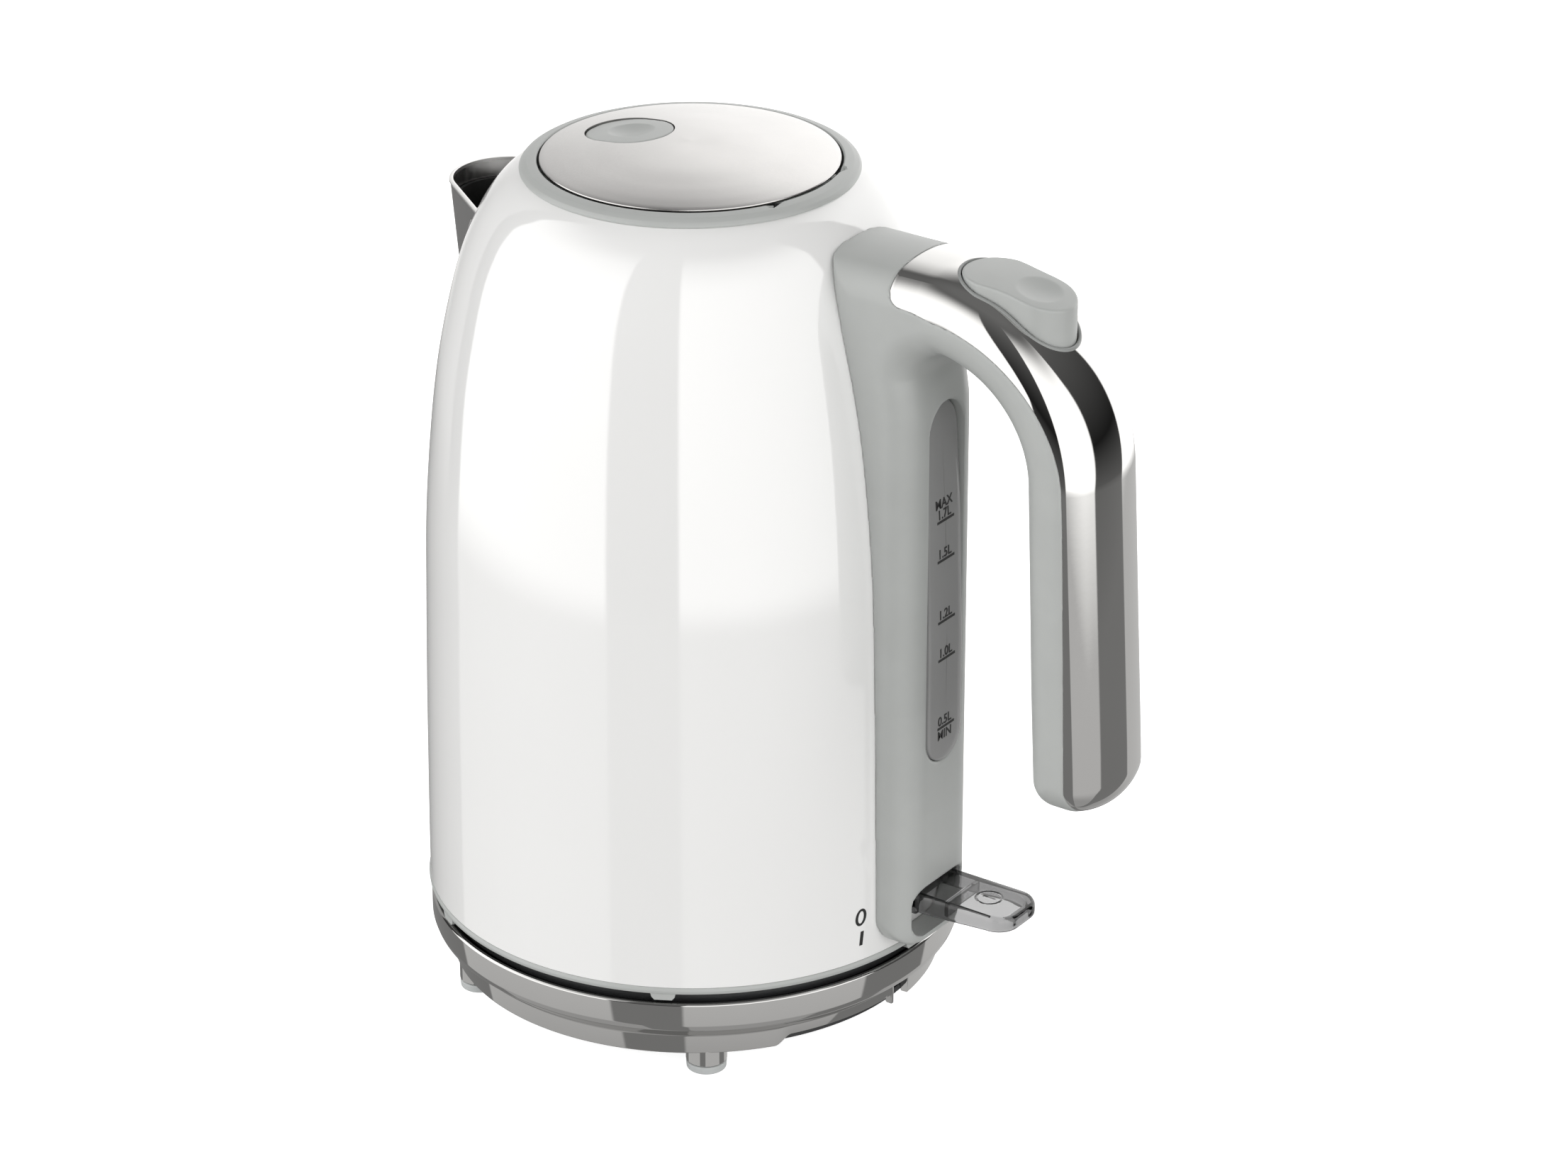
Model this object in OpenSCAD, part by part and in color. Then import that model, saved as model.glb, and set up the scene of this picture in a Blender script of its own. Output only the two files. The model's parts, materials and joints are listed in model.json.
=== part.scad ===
// Electric kettle, 1.7 litre, on a round power base.
// Origin on the kettle axis at the table, +Z up, handle toward +X, spout toward -X. Millimetres.

/* [Body] */
// Outer radius of the enamelled body at its lower edge
body_r = 77.9; // [70:0.1:85]
// Wall thickness of the enamelled steel body
wall = 1.0; // [0.6:0.1:2]
// Height of the body's lower edge above the table
body_z = 32; // [25:0.5:40]
// Height of the heater plate's wet face above the table
floor_z = 74; // [60:1:90]

/* [Handle] */
// Half width of the column and arm where they meet the body
column_half = 18; // [14:0.5:22]
// Distance from the axis to the front face of the column
column_x = 86.3; // [82:0.1:92]
// Half width of the hand grip
grip_half = 15; // [11:0.5:18]

/* [Lid] */
// Radius of the steel lid cover
lid_r = 41.9; // [36:0.1:46]
// Distance from the axis to the lid hinge
hinge_x = 39; // [36:0.1:42]
// Height of the lid hinge above the table
hinge_z = 249.8; // [248:0.1:252]

/* [Base] */
// Radius of the power base band
base_r = 77.7; // [70:0.1:85]
// Height of the base rim above the table
rim_z = 26.5; // [20:0.5:35]

/* [Switch] */
// Distance from the axis to the switch lever pivot
lever_x = 81.6; // [79:0.1:84]
// Height of the switch lever pivot above the table
lever_z = 47.2; // [42:0.1:52]

/* [Hidden] */
$fn = 96;
steel = [0.75, 0.75, 0.76];
grey = [0.68, 0.7, 0.69];
dark = [0.2, 0.21, 0.22];
brass = [0.8, 0.65, 0.3];
// outer outline of the enamelled body as radius and height pairs
body_line = [[body_r, body_z], [77.69, 62], [77.29, 92], [76.65, 122], [75.87, 147],
  [73.93, 172], [71.45, 192], [67.89, 210], [64.11, 224], [59.45, 235], [55.06, 242],
  [52, 245.2], [49.5, 247.3], [47.2, 248.5], [46, 248.8]];

// corner arc in a flat outline
function arc(cx, cy, r, a0, a1, n) =
  [for (i = [0 : n]) [cx + r * cos(a0 + (a1 - a0) * i / n), cy + r * sin(a0 + (a1 - a0) * i / n)]];

// solid of the body outline, grown by d
module body_solid(d) {
  rotate_extrude() polygon(concat([[0, body_z - 2]], [[body_r + d, body_z - 2]],
    [for (p = body_line) [p[0] + d, p[1] + d * 0.7]], [[0, 248.8 + d * 0.7]]));
}

// side outline pushed along Y, half width h
module slab_y(h) {
  rotate([90, 0, 0]) linear_extrude(height = 2 * h, center = true) children();
}

// rounded bar standing in X with rounded corners in plan
module plan_round(x0, x1, h, r, z0, z1) {
  translate([0, 0, z0]) linear_extrude(height = z1 - z0) union() {
    translate([x0, -h]) square([x1 - r - x0, 2 * h]);
    translate([x1 - r - 0.01, -h + r]) square([r + 0.01, 2 * (h - r)]);
    for (s = [-1, 1]) translate([x1 - r, s * (h - r)]) circle(r = r);
  }
}

// upright stadium outline in Y and Z, pushed along X
module stadium_x(x0, x1, h, z0, z1) {
  translate([x0, 0, 0]) rotate([90, 0, 90]) linear_extrude(height = x1 - x0) union() {
    translate([-h, z0 + h]) square([2 * h, z1 - z0 - 2 * h]);
    translate([0, z0 + h]) circle(r = h);
    translate([0, z1 - h]) circle(r = h);
  }
}

// bright cover of the power base with its stepped skirt and the cord notch
module base_cover() color(steel) difference() {
  rotate_extrude() polygon([[18.2, 22], [68, 22], [68, 18], [69.6, 16], [69.6, 7.3], [71.9, 7.3],
    [72, 13.4], [73.2, 14.6], [base_r - 0.4, 18.2], [base_r, 19.3], [base_r, 25.7],
    [base_r - 0.7, rim_z], [76.3, rim_z], [75.8, 24], [18.2, 24]]);
  rotate([0, 0, -34]) rotate_extrude(angle = 31) translate([64, 0]) square([15, 10.4]);
  translate([60, -2.4, 0]) cube([20, 7.4, 13.6]);
}

// underside plate of the power base
module base_bottom_plate() color(dark) difference() {
  translate([0, 0, 7.8]) cylinder(r = 69.4, h = 1.8);
  for (a = [45 : 90 : 315]) rotate([0, 0, a]) translate([55, 0, 0]) cylinder(r = 1.6, h = 20);
  for (sx = [-1, 1], sy = [-1, 1]) translate([sx * 40.9, sy * 51.8, 0]) cylinder(r = 6.05, h = 20);
}

// four metal foot posts under the base
module base_feet() color(steel)
  for (sx = [-1, 1], sy = [-1, 1]) {
    translate([sx * 40.9, sy * 51.8, 2.3]) cylinder(r = 5.9, h = 4.95);
    intersection() {
      translate([sx * 40.9, sy * 51.8, 7]) cylinder(r = 5.9, h = 8.5);
      cylinder(r = 69.5, h = 40);
    }
  }

// four soft pads under the foot posts
module foot_pads() color(grey)
  for (sx = [-1, 1], sy = [-1, 1]) translate([sx * 40.9, sy * 51.8, 0]) cylinder(r = 5.85, h = 2.3);

// four screws holding the underside plate
module base_screws() color(steel)
  for (a = [45 : 90 : 315]) rotate([0, 0, a]) translate([55, 0, 0]) {
    translate([0, 0, 6.3]) cylinder(r = 2.8, h = 1.5);
    translate([0, 0, 7.8]) cylinder(r = 1.5, h = 9);
  }

// round connector socket in the middle of the base
module socket_housing() color(dark) difference() {
  union() {
    translate([0, 0, 9.7]) cylinder(r = 18, h = 14.1);
    translate([0, 0, 9.7]) cylinder(r = 26, h = 2.6);
  }
  translate([0, 0, 12.6]) cylinder(r = 4.4, h = 20);
  translate([0, 0, 12.6]) difference() {
    cylinder(r = 11.4, h = 20);
    translate([0, 0, -1]) cylinder(r = 7.6, h = 22);
  }
}

// live contacts in the bottom of the socket grooves
module socket_contacts() color(brass) {
  translate([0, 0, 12.65]) cylinder(r = 2, h = 1.2);
  translate([0, 0, 12.65]) difference() {
    cylinder(r = 10.6, h = 0.8);
    translate([0, 0, -1]) cylinder(r = 8.4, h = 3);
  }
}

// round connector plug carried by the kettle
module coupler_body() color(dark) {
  difference() {
    union() {
      translate([0, 0, 24.5]) cylinder(r = 15.4, h = 2.4);
      translate([0, 0, 26.9]) cylinder(r = 12, h = 7);
      translate([0, 0, 15.6]) cylinder(r = 11, h = 8.9);
    }
    translate([0, 0, 10]) cylinder(r = 8, h = 14.5);
    translate([0, 0, 20]) cylinder(r = 2.55, h = 20);
  }
}

// centre pin and ring of the plug
module coupler_contacts() color(brass) {
  translate([0, 0, 14.2]) cylinder(r = 2.5, h = 18.5);
  translate([0, 0, 14.6]) difference() {
    cylinder(r = 10.9, h = 1);
    translate([0, 0, -1]) cylinder(r = 8.1, h = 3);
  }
}

// enamelled steel body with openings for lid, spout, handle latch and gauge
module body_shell() color([0.95, 0.95, 0.94]) difference() {
  rotate_extrude() polygon(concat(body_line,
    [for (i = [len(body_line) - 1 : -1 : 1]) [body_line[i][0] - wall, body_line[i][1] - wall * 0.9]],
    [[body_r - wall, body_z]]));
  intersection() {
    spout_form(2.2, 0);
    translate([-100, -18, 176]) cube([60, 36, 48]);
  }
  translate([50, -4, 232.6]) cube([20, 8, 7]);
  for (z = [96, 192]) translate([60, 0, z]) rotate([0, 90, 0]) cylinder(r = 2.6, h = 30);
}

// pale ring under the body with six short tabs
module bottom_ring() color(grey) {
  difference() {
    translate([0, 0, 29.9]) cylinder(r = 78.3, h = 2);
    translate([0, 0, 29]) cylinder(r = 75, h = 4);
  }
  for (i = [0 : 5]) rotate([0, 0, -61 + 60 * i]) translate([75.2, 0, 0])
    rotate([90, 0, 90]) linear_extrude(height = 2.9)
      polygon([[-3.6, 30], [3.6, 30], [2.5, 28], [-2.5, 28]]);
}

// dark plastic floor closing the underside of the kettle
module bottom_chassis() color(dark) difference() {
  rotate_extrude() polygon([[16, 24.5], [73.6, 24.5], [74.8, 25.7], [74.8, 33], [76.6, 33],
    [76.6, 36], [72.8, 36], [72.8, 26.5], [16, 26.5]]);
  for (a = [0, 120, 240]) rotate([0, 0, a + 30]) translate([60, 0, 0]) cylinder(r = 1.7, h = 40);
}

// three screws holding the floor to the heater plate posts
module chassis_screws() color(steel)
  for (a = [0, 120, 240]) rotate([0, 0, a + 30]) translate([60, 0, 0]) {
    translate([0, 0, 26.5]) cylinder(r = 3, h = 1.5);
    translate([0, 0, 25.2]) cylinder(r = 1.6, h = 24);
  }

// polished heater plate, the floor of the water vessel
module heater_plate() color(steel) difference() {
  union() {
    translate([0, 0, floor_z - 1.2]) cylinder(r = 75.2, h = 1.2);
    translate([0, 0, floor_z - 8]) difference() {
      cylinder(r = 75.2, h = 8);
      translate([0, 0, -1]) cylinder(r = 74.2, h = 10);
    }
    for (a = [0, 120, 240]) rotate([0, 0, a + 30]) translate([60, 0, 49.4])
      cylinder(r = 3, h = floor_z - 49.6);
  }
  translate([66, 0, 0]) cylinder(r = 3.55, h = 100);
}

// seal between heater plate and body
module plate_seal() color([0.9, 0.9, 0.88]) difference() {
  translate([0, 0, floor_z - 6]) cylinder(r = 76.2, h = 4);
  translate([0, 0, floor_z - 7]) cylinder(r = 75.25, h = 6);
}

// aluminium heat spreader under the plate
module heat_spreader() color([0.8, 0.81, 0.82])
  translate([0, 0, floor_z - 4.3]) cylinder(r = 55, h = 3);

// sheathed heating element ring with its two cold ends
module heating_element() color([0.45, 0.43, 0.42]) {
  translate([0, 0, floor_z - 8.8]) rotate([0, 0, 12])
    rotate_extrude(angle = 336) translate([46, 0]) circle(r = 4);
  for (s = [-1, 1]) rotate([0, 0, s * 17]) translate([46, 0, 52]) cylinder(r = 3, h = 13);
}

// control block over the coupler
module control_unit() color([0.85, 0.83, 0.78]) difference() {
  union() {
    translate([0, 0, 27.1]) cylinder(r = 24, h = 22);
    translate([-14, -30, 34]) cube([28, 60, 12]);
  }
  translate([0, 0, 20]) cylinder(r = 12.05, h = 14.4);
}

// tube that leads steam down to the control
module steam_tube() color([0.88, 0.88, 0.86]) translate([66, 0, 40]) difference() {
  cylinder(r = 3.5, h = 156);
  translate([0, 0, -1]) cylinder(r = 2.5, h = 158);
}

// wedge form of the spout, shrunk by d, top raised by t
module spout_form(d, t) {
  intersection() {
    slab_y(26) polygon([[-40, 229.6 + t], [-84.7 + d, 229.6 + t], [-82.5 + d, 206],
      [-79.2 + d, 180], [-76 + d, 160], [-72 + d, 150], [-40, 150]]);
    translate([0, 0, 140]) linear_extrude(height = 100)
      polygon([[-40, 30 - d], [-60, 20.5 - d], [-70, 14.7 - d], [-78.5 + d * 0.5, 8.1 - d * 0.8],
        [-83 + d, 4 - d * 0.5], [-84.7 + d, 0], [-83 + d, -4 + d * 0.5],
        [-78.5 + d * 0.5, -8.1 + d * 0.8], [-70, -14.7 + d], [-60, -20.5 + d], [-40, -30 + d]]);
    translate([-100, 0, 0]) rotate([90, 0, 90]) linear_extrude(height = 80)
      polygon([[-24 + d, 232 + t], [24 - d, 232 + t], [19 - d, 212], [12 - d * 0.7, 185], [4, 155 + d],
        [-4, 155 + d], [-12 + d * 0.7, 185], [-19 + d, 212]]);
  }
}

// steel pouring spout, open at the top
module spout() color(steel) difference() {
  spout_form(0, 0);
  spout_form(1.5, 4);
  body_solid(0.02);
}

// two rails inside the body that hold the filter
module filter_rails() color(grey) for (s = [-1, 1]) difference() {
  intersection() {
    translate([-74, s * 18.4 - 1.2, 184]) cube([22.8, 2.4, 36]);
    body_solid(-wall - 0.25);
  }
  translate([-55.8, s * 16.4 - 1.2, 183]) cube([6, 2.4, 38]);
}

// limescale filter frame with its mesh bars, slides off its rails into the vessel
module spout_filter() color([0.75, 0.76, 0.76]) translate([-55.4, 0, 0]) {
  difference() {
    translate([0, -16.6, 185]) cube([2, 33.2, 34]);
    translate([-1, -14.4, 187.4]) cube([4, 28.8, 29.2]);
  }
  for (i = [-2 : 2]) translate([0.5, i * 4.8 - 0.5, 187]) cube([0.8, 1, 30]);
  for (i = [1 : 5]) translate([0.5, -14.6, 187 + i * 5]) cube([0.8, 29.2, 0.8]);
}

// grey collar around the lid opening with its neck, flange and hinge lugs
module lid_collar() color(grey) difference() {
  union() {
    difference() {
      rotate_extrude() polygon([[42.5, 251.3], [42.9, 251.6], [45.6, 251.1], [46.9, 250.3], [47.5, 249.4],
        [47.5, 248.9], [44.7, 248.9], [44.7, 242], [36.5, 242], [36.5, 244], [43.5, 244], [43.5, 250.6],
        [42.5, 250.9]]);
      translate([37, -18, 250.4]) cube([5.3, 36, 2.4]);
      translate([37, -19.6, 249.6]) cube([4.7, 39.2, 3.2]);
    }
    for (s = [-1, 1]) translate([0, s * 12, 0]) {
      translate([hinge_x, 0, hinge_z]) rotate([90, 0, 0]) cylinder(r = 1.2, h = 2.4, center = true);
      translate([hinge_x - 1.2, -1.2, 243.5]) cube([2.4, 2.4, hinge_z - 243.5]);
      translate([hinge_x - 1.2, -1.2, 243.5]) cube([4, 2.4, 3.2]);
    }
  }
  translate([hinge_x, 0, hinge_z]) rotate([90, 0, 0]) cylinder(r = 0.83, h = 40, center = true);
}

// side outline of column, arm and grip in X and Z
module frame_outline() {
  polygon(concat([[50, 33.6], [column_x, 33.6], [column_x, 196], [85.2, 206], [84.2, 211]],
    arc(92, 210.5, 8, 180, 95, 5), arc(88, 186, 34, 75, 2, 9),
    [[123.2, 165], [124.4, 128], [125.8, 102]], arc(133, 101, 7, 182, 270, 5), [[138, 94.4]],
    [[135, 103], [134, 129], [132.3, 170], [131.6, 186]], arc(88, 186, 43.6, 2, 76, 9),
    [[88, 230.4], [84, 231.4], [80.4, 233.4], [78.6, 236], [78, 241.3], [55.2, 241.3], [50, 200]]));
}

// grey moulding: column on the body, arm and inner half of the grip
module handle_frame() color(grey) difference() {
  union() {
    intersection() {
      slab_y(column_half) frame_outline();
      union() {
        plan_round(40, column_x, column_half, 10.5, 33, 240);
        translate([40, -column_half, 205]) cube([45, 2 * column_half, 32]);
        translate([40, -15.5, 236.9]) cube([45, 31, 3.2]);
        translate([40, -11.5, 239.9]) cube([45, 23, 1.5]);
      }
      translate([40, 0, 0]) union() {
        translate([0, -column_half, 41.6]) cube([100, 2 * column_half, 220]);
        translate([0, -column_half + 8, 33.6]) cube([100, 2 * column_half - 16, 20]);
        for (s = [-1, 1]) translate([0, s * (column_half - 8), 41.6])
          rotate([0, 90, 0]) cylinder(r = 8, h = 100);
      }
    }
    intersection() {
      slab_y(grip_half + 1.2) frame_outline();
      translate([84, -20, 90]) cube([80, 40, 145]);
      union() {
        translate([84, -20, 190]) cube([38, 40, 60]);
        translate([84, -grip_half, 90]) cube([80, 2 * grip_half, 130]);
      }
    }
  }
  body_solid(0.05);
  stadium_x(70, 90, 8.35, 89.8, 199.2);
  translate([77, -12.6, 36.6]) cube([12, 25.2, 15.6]);
  translate([lever_x, 0, lever_z]) rotate([90, 0, 0]) cylinder(r = 2.05, h = 28.4, center = true);
  translate([50, -4, 232.6]) cube([42, 8, 6.6]);
  slab_y(8) polygon(concat([[88, 232.2], [91, 226]], arc(88, 186, 39, 72, 22, 6),
    [[131, 200], [128, 240], [88, 240]]));
}

// side outline of the bright cover in X and Z
module cover_outline(d) {
  polygon(concat([[138.2 - d * 0.5, 95 + d], [135.3 + d, 103 + d], [134.3 + d, 129],
      [132.6 + d, 170], [131.9 + d, 186]],
    arc(88, 186, 43.65 + d, 2, 76, 9),
    [[88, 230.7 + d], [84.3, 231.7 + d], [80.8 + d, 233.6 + d], [79 + d, 236.1 + d], [78.3 + d, 241.3 - d],
     [86, 241.2 - d]],
    arc(87, 187, 54.2 - d, 88, 2, 12), [[142.3 - d, 160], [144.6 - d, 108]],
    arc(139.6 - d, 100 + d, 5, 0, -90, 5)));
}

// polished outer cover of arm and grip, with the button opening and the spring seat
module handle_cover() color(steel) {
  cover_shell();
  intersection() {
    translate([112, 0, 215]) cylinder(r = 5.5, h = 12.2);
    slab_y(10) cover_outline(0.9);
  }
}

// hollow shell of the outer cover
module cover_shell() difference() {
  intersection() {
    slab_y(16.5) cover_outline(0);
    union() {
      translate([70, -16.5, 180]) cube([55, 33, 70]);
      translate([70, -grip_half, 80]) cube([80, 2 * grip_half, 160]);
    }
  }
  slab_y(12.8) cover_outline(1.8);
  translate([76, -4, 232.6]) cube([16, 8, 6]);
  translate([0, 0, 190]) button_plan(0.35, 80);
}

// long rounded plan of the lid button with a slight waist, grown by d
module button_plan(d, h) {
  linear_extrude(height = h) union() {
    translate([102.7, 0]) circle(r = 10.6 + d);
    translate([115.5, 0]) circle(r = 9.7 + d);
    polygon([[102.7, 10.59 + d], [102.7, -10.59 - d], [105.9, -10.15 - d], [109.1, -9.8 - d], [112.3, -9.7 - d],
      [115.5, -9.69 - d], [115.5, 9.69 + d], [112.3, 9.7 + d], [109.1, 9.8 + d], [105.9, 10.15 + d]]);
  }
}

// smoked clear window of the water gauge
module gauge_window() color([0.6, 0.6, 0.62, 0.5]) intersection() {
  stadium_x(82.2, 87, 8.3, 90, 199);
  slab_y(10) polygon([[82.2, 89], [87, 89], [87, 125], [85.9, 165], [84.6, 185], [83.4, 200], [82.2, 200]]);
}

// pale back of the gauge chamber with its two water passages
module gauge_back() color([0.8, 0.8, 0.8]) intersection() {
  difference() {
    stadium_x(69, 81.9, 8.3, 90, 199);
    body_solid(0.08);
    for (z = [96, 192]) translate([60, 0, z]) rotate([0, 90, 0]) cylinder(r = 2.6, h = 18);
  }
  slab_y(10) polygon([[69, 89], [81.9, 89], [81.9, 200], [69, 200]]);
}

// thin dark bezel under the button
module button_bezel() color([0.35, 0.36, 0.36]) difference() {
  intersection() {
    translate([0, 0, 190]) button_plan(1.2, 80);
    slab_y(12) polygon(concat(arc(87, 187, 54.4, 86, 40, 8), arc(87, 187, 55.6, 40, 86, 8)));
  }
  translate([0, 0, 180]) button_plan(0.3, 100);
}

// lid button with thumb dimple, pressed downward
module lid_button() color(grey) difference() {
  union() {
    intersection() {
      translate([0, 0, 190]) button_plan(0, 80);
      slab_y(12) polygon(concat([[89, 241.3], [95, 241.3], [105, 240.7], [112, 239.55], [119, 237.8], [126, 235.6]],
        arc(87, 187, 52.6, 37, 87.8, 9)));
    }
    translate([112, 0, 230.2]) cylinder(r = 3, h = 6);
  }
  translate([112, 0, 225]) difference() {
    cylinder(r = 5.4, h = 6.3);
    cylinder(r = 3, h = 8);
  }
  translate([119.9, 0, 260]) sphere(r = 22.8);
}

// return spring under the button
module button_spring() color(steel) for (i = [0 : 3]) translate([112, 0, 227.66 + i * 1.05])
  rotate_extrude() translate([4.2, 0]) circle(r = 0.45, $fn = 24);

// sliding lid latch inside the arm
module latch_slider() color([0.8, 0.8, 0.78]) {
  translate([37.4, -3, 233.4]) cube([51, 6, 3]);
  translate([37.4, -3, 236.3]) cube([3, 6, 3.9]);
}

// smoked switch lever with its two pivot stubs
module switch_lever() color([0.35, 0.35, 0.37, 0.6]) union() {
  difference() {
    translate([0, 0, 44]) linear_extrude(height = 6.5) union() {
      translate([78.9, -11]) square([5.9, 22]);
      translate([84, -9.7]) square([22, 19.4]);
      translate([104, -4.7]) square([10, 9.4]);
      for (s = [-1, 1]) translate([105, s * 3.2]) circle(r = 6.5);
      for (s = [-1, 1]) translate([108, s * 3.2]) circle(r = 6.2);
    }
    translate([102.5, 0, 50.2]) difference() {
      cylinder(r = 3.9, h = 1);
      translate([0, 0, -1]) cylinder(r = 3.4, h = 3);
    }
  }
  translate([lever_x, 0, lever_z]) rotate([90, 0, 0]) cylinder(r = 2, h = 27.4, center = true);
}

// domed steel lid cover with the opening for the thumb pad
module lid_cover() color(steel) difference() {
  rotate_extrude() polygon([[0, 256.4], [10, 256.15], [20, 255.4], [30, 254.15], [36, 253.2], [40, 252.45],
    [41.5, 252.1], [lid_r, 251.8], [lid_r, 251.2], [41.1, 251.2], [36, 252.3], [30, 253.3], [20, 254.6],
    [10, 255.35], [0, 255.6]]);
  pad_plan(0.5, 30);
}

// oval plan of the thumb pad
module pad_plan(d, h) {
  translate([-20.8, 0, 240]) linear_extrude(height = h) union() {
    for (s = [-1, 1]) translate([s * 1.85, 0]) circle(r = 10.85 + d);
    translate([-1.85, -10.85 - d]) square([3.7, 21.7 + 2 * d]);
  }
}

// oval thumb pad set into the lid
module lid_thumb_pad() color(grey) difference() {
  intersection() {
    translate([0, 0, 11.2]) pad_plan(0, 20);
    rotate_extrude() polygon([[0, 256.5], [10, 256.25], [20, 255.5], [34, 253.6], [34, 251.2], [0, 251.2]]);
  }
  translate([-24, 0, 255 + 15]) sphere(r = 16.2);
}

// inner lid moulding with the hinge knuckle
module lid_body() color(grey) difference() {
  union() {
    translate([0, 0, 246.2]) cylinder(r = 36.2, h = 4.9);
    translate([0, 0, 241.2]) cylinder(r = 35.2, h = 5.2);
    translate([30, -10, hinge_z - 1.3]) cube([hinge_x - 30, 20, 2.4]);
    translate([hinge_x, 0, hinge_z]) rotate([90, 0, 0]) cylinder(r = 1.25, h = 20, center = true);
  }
  translate([0, 0, 240]) cylinder(r = 33, h = 9);
  translate([hinge_x, 0, hinge_z]) rotate([90, 0, 0]) cylinder(r = 0.81, h = 40, center = true);
}

// seal around the inner lid
module lid_seal() color([0.85, 0.85, 0.84]) difference() {
  translate([0, 0, 244.5]) cylinder(r = 37.8, h = 1.6);
  translate([0, 0, 243]) cylinder(r = 35.22, h = 4);
}

// pin of the lid hinge
module lid_hinge_pin() color(steel)
  translate([hinge_x, 0, hinge_z]) rotate([90, 0, 0]) cylinder(r = 0.8, h = 27, center = true);

base_cover();
base_bottom_plate();
base_feet();
foot_pads();
base_screws();
socket_housing();
socket_contacts();
coupler_body();
coupler_contacts();
body_shell();
bottom_ring();
bottom_chassis();
chassis_screws();
heater_plate();
plate_seal();
heat_spreader();
heating_element();
control_unit();
steam_tube();
spout();
filter_rails();
spout_filter();
lid_collar();
handle_frame();
handle_cover();
gauge_window();
gauge_back();
button_bezel();
lid_button();
button_spring();
latch_slider();
switch_lever();
lid_cover();
lid_thumb_pad();
lid_body();
lid_seal();
lid_hinge_pin();
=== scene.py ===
"""Electric kettle: the looks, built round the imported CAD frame. Outlines are in millimetres."""
import json
import math

import bmesh
import bpy
import numpy as np
from mathutils import Matrix, Vector

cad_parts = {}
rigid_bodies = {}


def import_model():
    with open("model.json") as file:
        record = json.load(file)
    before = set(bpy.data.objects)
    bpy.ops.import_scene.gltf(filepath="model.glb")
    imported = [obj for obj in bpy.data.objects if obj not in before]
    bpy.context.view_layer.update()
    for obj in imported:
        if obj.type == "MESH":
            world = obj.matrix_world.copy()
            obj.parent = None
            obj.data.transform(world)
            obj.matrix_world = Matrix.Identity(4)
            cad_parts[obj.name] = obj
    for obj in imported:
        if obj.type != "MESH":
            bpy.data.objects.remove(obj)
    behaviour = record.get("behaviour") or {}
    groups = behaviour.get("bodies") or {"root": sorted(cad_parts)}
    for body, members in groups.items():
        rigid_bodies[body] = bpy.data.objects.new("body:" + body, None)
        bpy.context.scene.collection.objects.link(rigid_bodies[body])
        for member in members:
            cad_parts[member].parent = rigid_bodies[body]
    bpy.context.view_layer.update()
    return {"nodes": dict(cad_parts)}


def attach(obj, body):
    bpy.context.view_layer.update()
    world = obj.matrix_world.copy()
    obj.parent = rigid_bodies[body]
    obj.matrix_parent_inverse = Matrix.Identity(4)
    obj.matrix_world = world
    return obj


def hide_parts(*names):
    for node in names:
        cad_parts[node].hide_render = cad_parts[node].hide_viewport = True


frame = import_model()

MM = 0.001

# driving dimensions of the object, in millimetres
BODY_LINE = [(77.94, 32), (77.85, 47), (77.69, 62), (77.29, 92), (76.65, 122), (75.87, 147), (73.93, 172),
             (71.45, 192), (67.89, 210), (64.11, 224), (59.45, 235), (55.06, 242), (52, 245.2), (49.5, 247.3),
             (46.5, 249.0)]
WALL = 1.0
COLUMN_HALF = 18.0
COLUMN_X = 86.3
GRIP_HALF = 18.0
GRIP_CENTRE = (88.0, 186.0)
TOP_CENTRE = (87.0, 187.0)
TOP_RADIUS = 54.2
SEAM_RADIUS = 43.9
PALM_RADIUS = 34.0
WINDOW = (8.3, 90.0, 199.0)
LEVER_TIP = 114.5
BUTTON = ((102.7, 10.6), (115.5, 9.7), 9.3)
SPOUT_RIM = 231.7
SPOUT_LEVELS = (150, 185, 212, SPOUT_RIM)
SPOUT_TIPS = (76.0, 78.2, 79.7, 80.7)
SPOUT_NOSES = (2.5, 8.0, 13.0, 16.5)
FLANK = math.radians(35.3)
NOSE_SHARE = 0.5
HINGE_X, HINGE_Z = 39.0, 249.8


# ---------------------------------------------------------------- outlines and fields

def arc(centre, radius, start, end, count):
    """Points on an arc, angles in degrees."""
    angles = np.radians(np.linspace(start, end, count))
    return [(centre[0] + radius * math.cos(a), centre[1] + radius * math.sin(a)) for a in angles]


def filleted(points, radii, count=5, closed=True):
    """The outline with each corner rounded by its radius."""
    rounded = []
    size = len(points)
    for i, corner in enumerate(points):
        radius = radii[i] if isinstance(radii, (list, tuple)) else radii
        if radius == 0 or (not closed and i in (0, size - 1)):
            rounded.append(tuple(corner))
            continue
        corner = Vector(corner)
        before = (Vector(points[i - 1]) - corner)
        after = (Vector(points[(i + 1) % size]) - corner)
        half = before.angle(after) / 2
        back = min(radius / math.tan(half), before.length * 0.49, after.length * 0.49)
        radius = back * math.tan(half)
        centre = corner + (before.normalized() + after.normalized()).normalized() * (radius / math.sin(half))
        first = corner + before.normalized() * back - centre
        last = corner + after.normalized() * back - centre
        turn = first.angle_signed(last)
        for k in range(count + 1):
            spot = centre + Matrix.Rotation(-turn * k / count, 2) @ first
            rounded.append((spot.x, spot.y))
    return rounded


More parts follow.
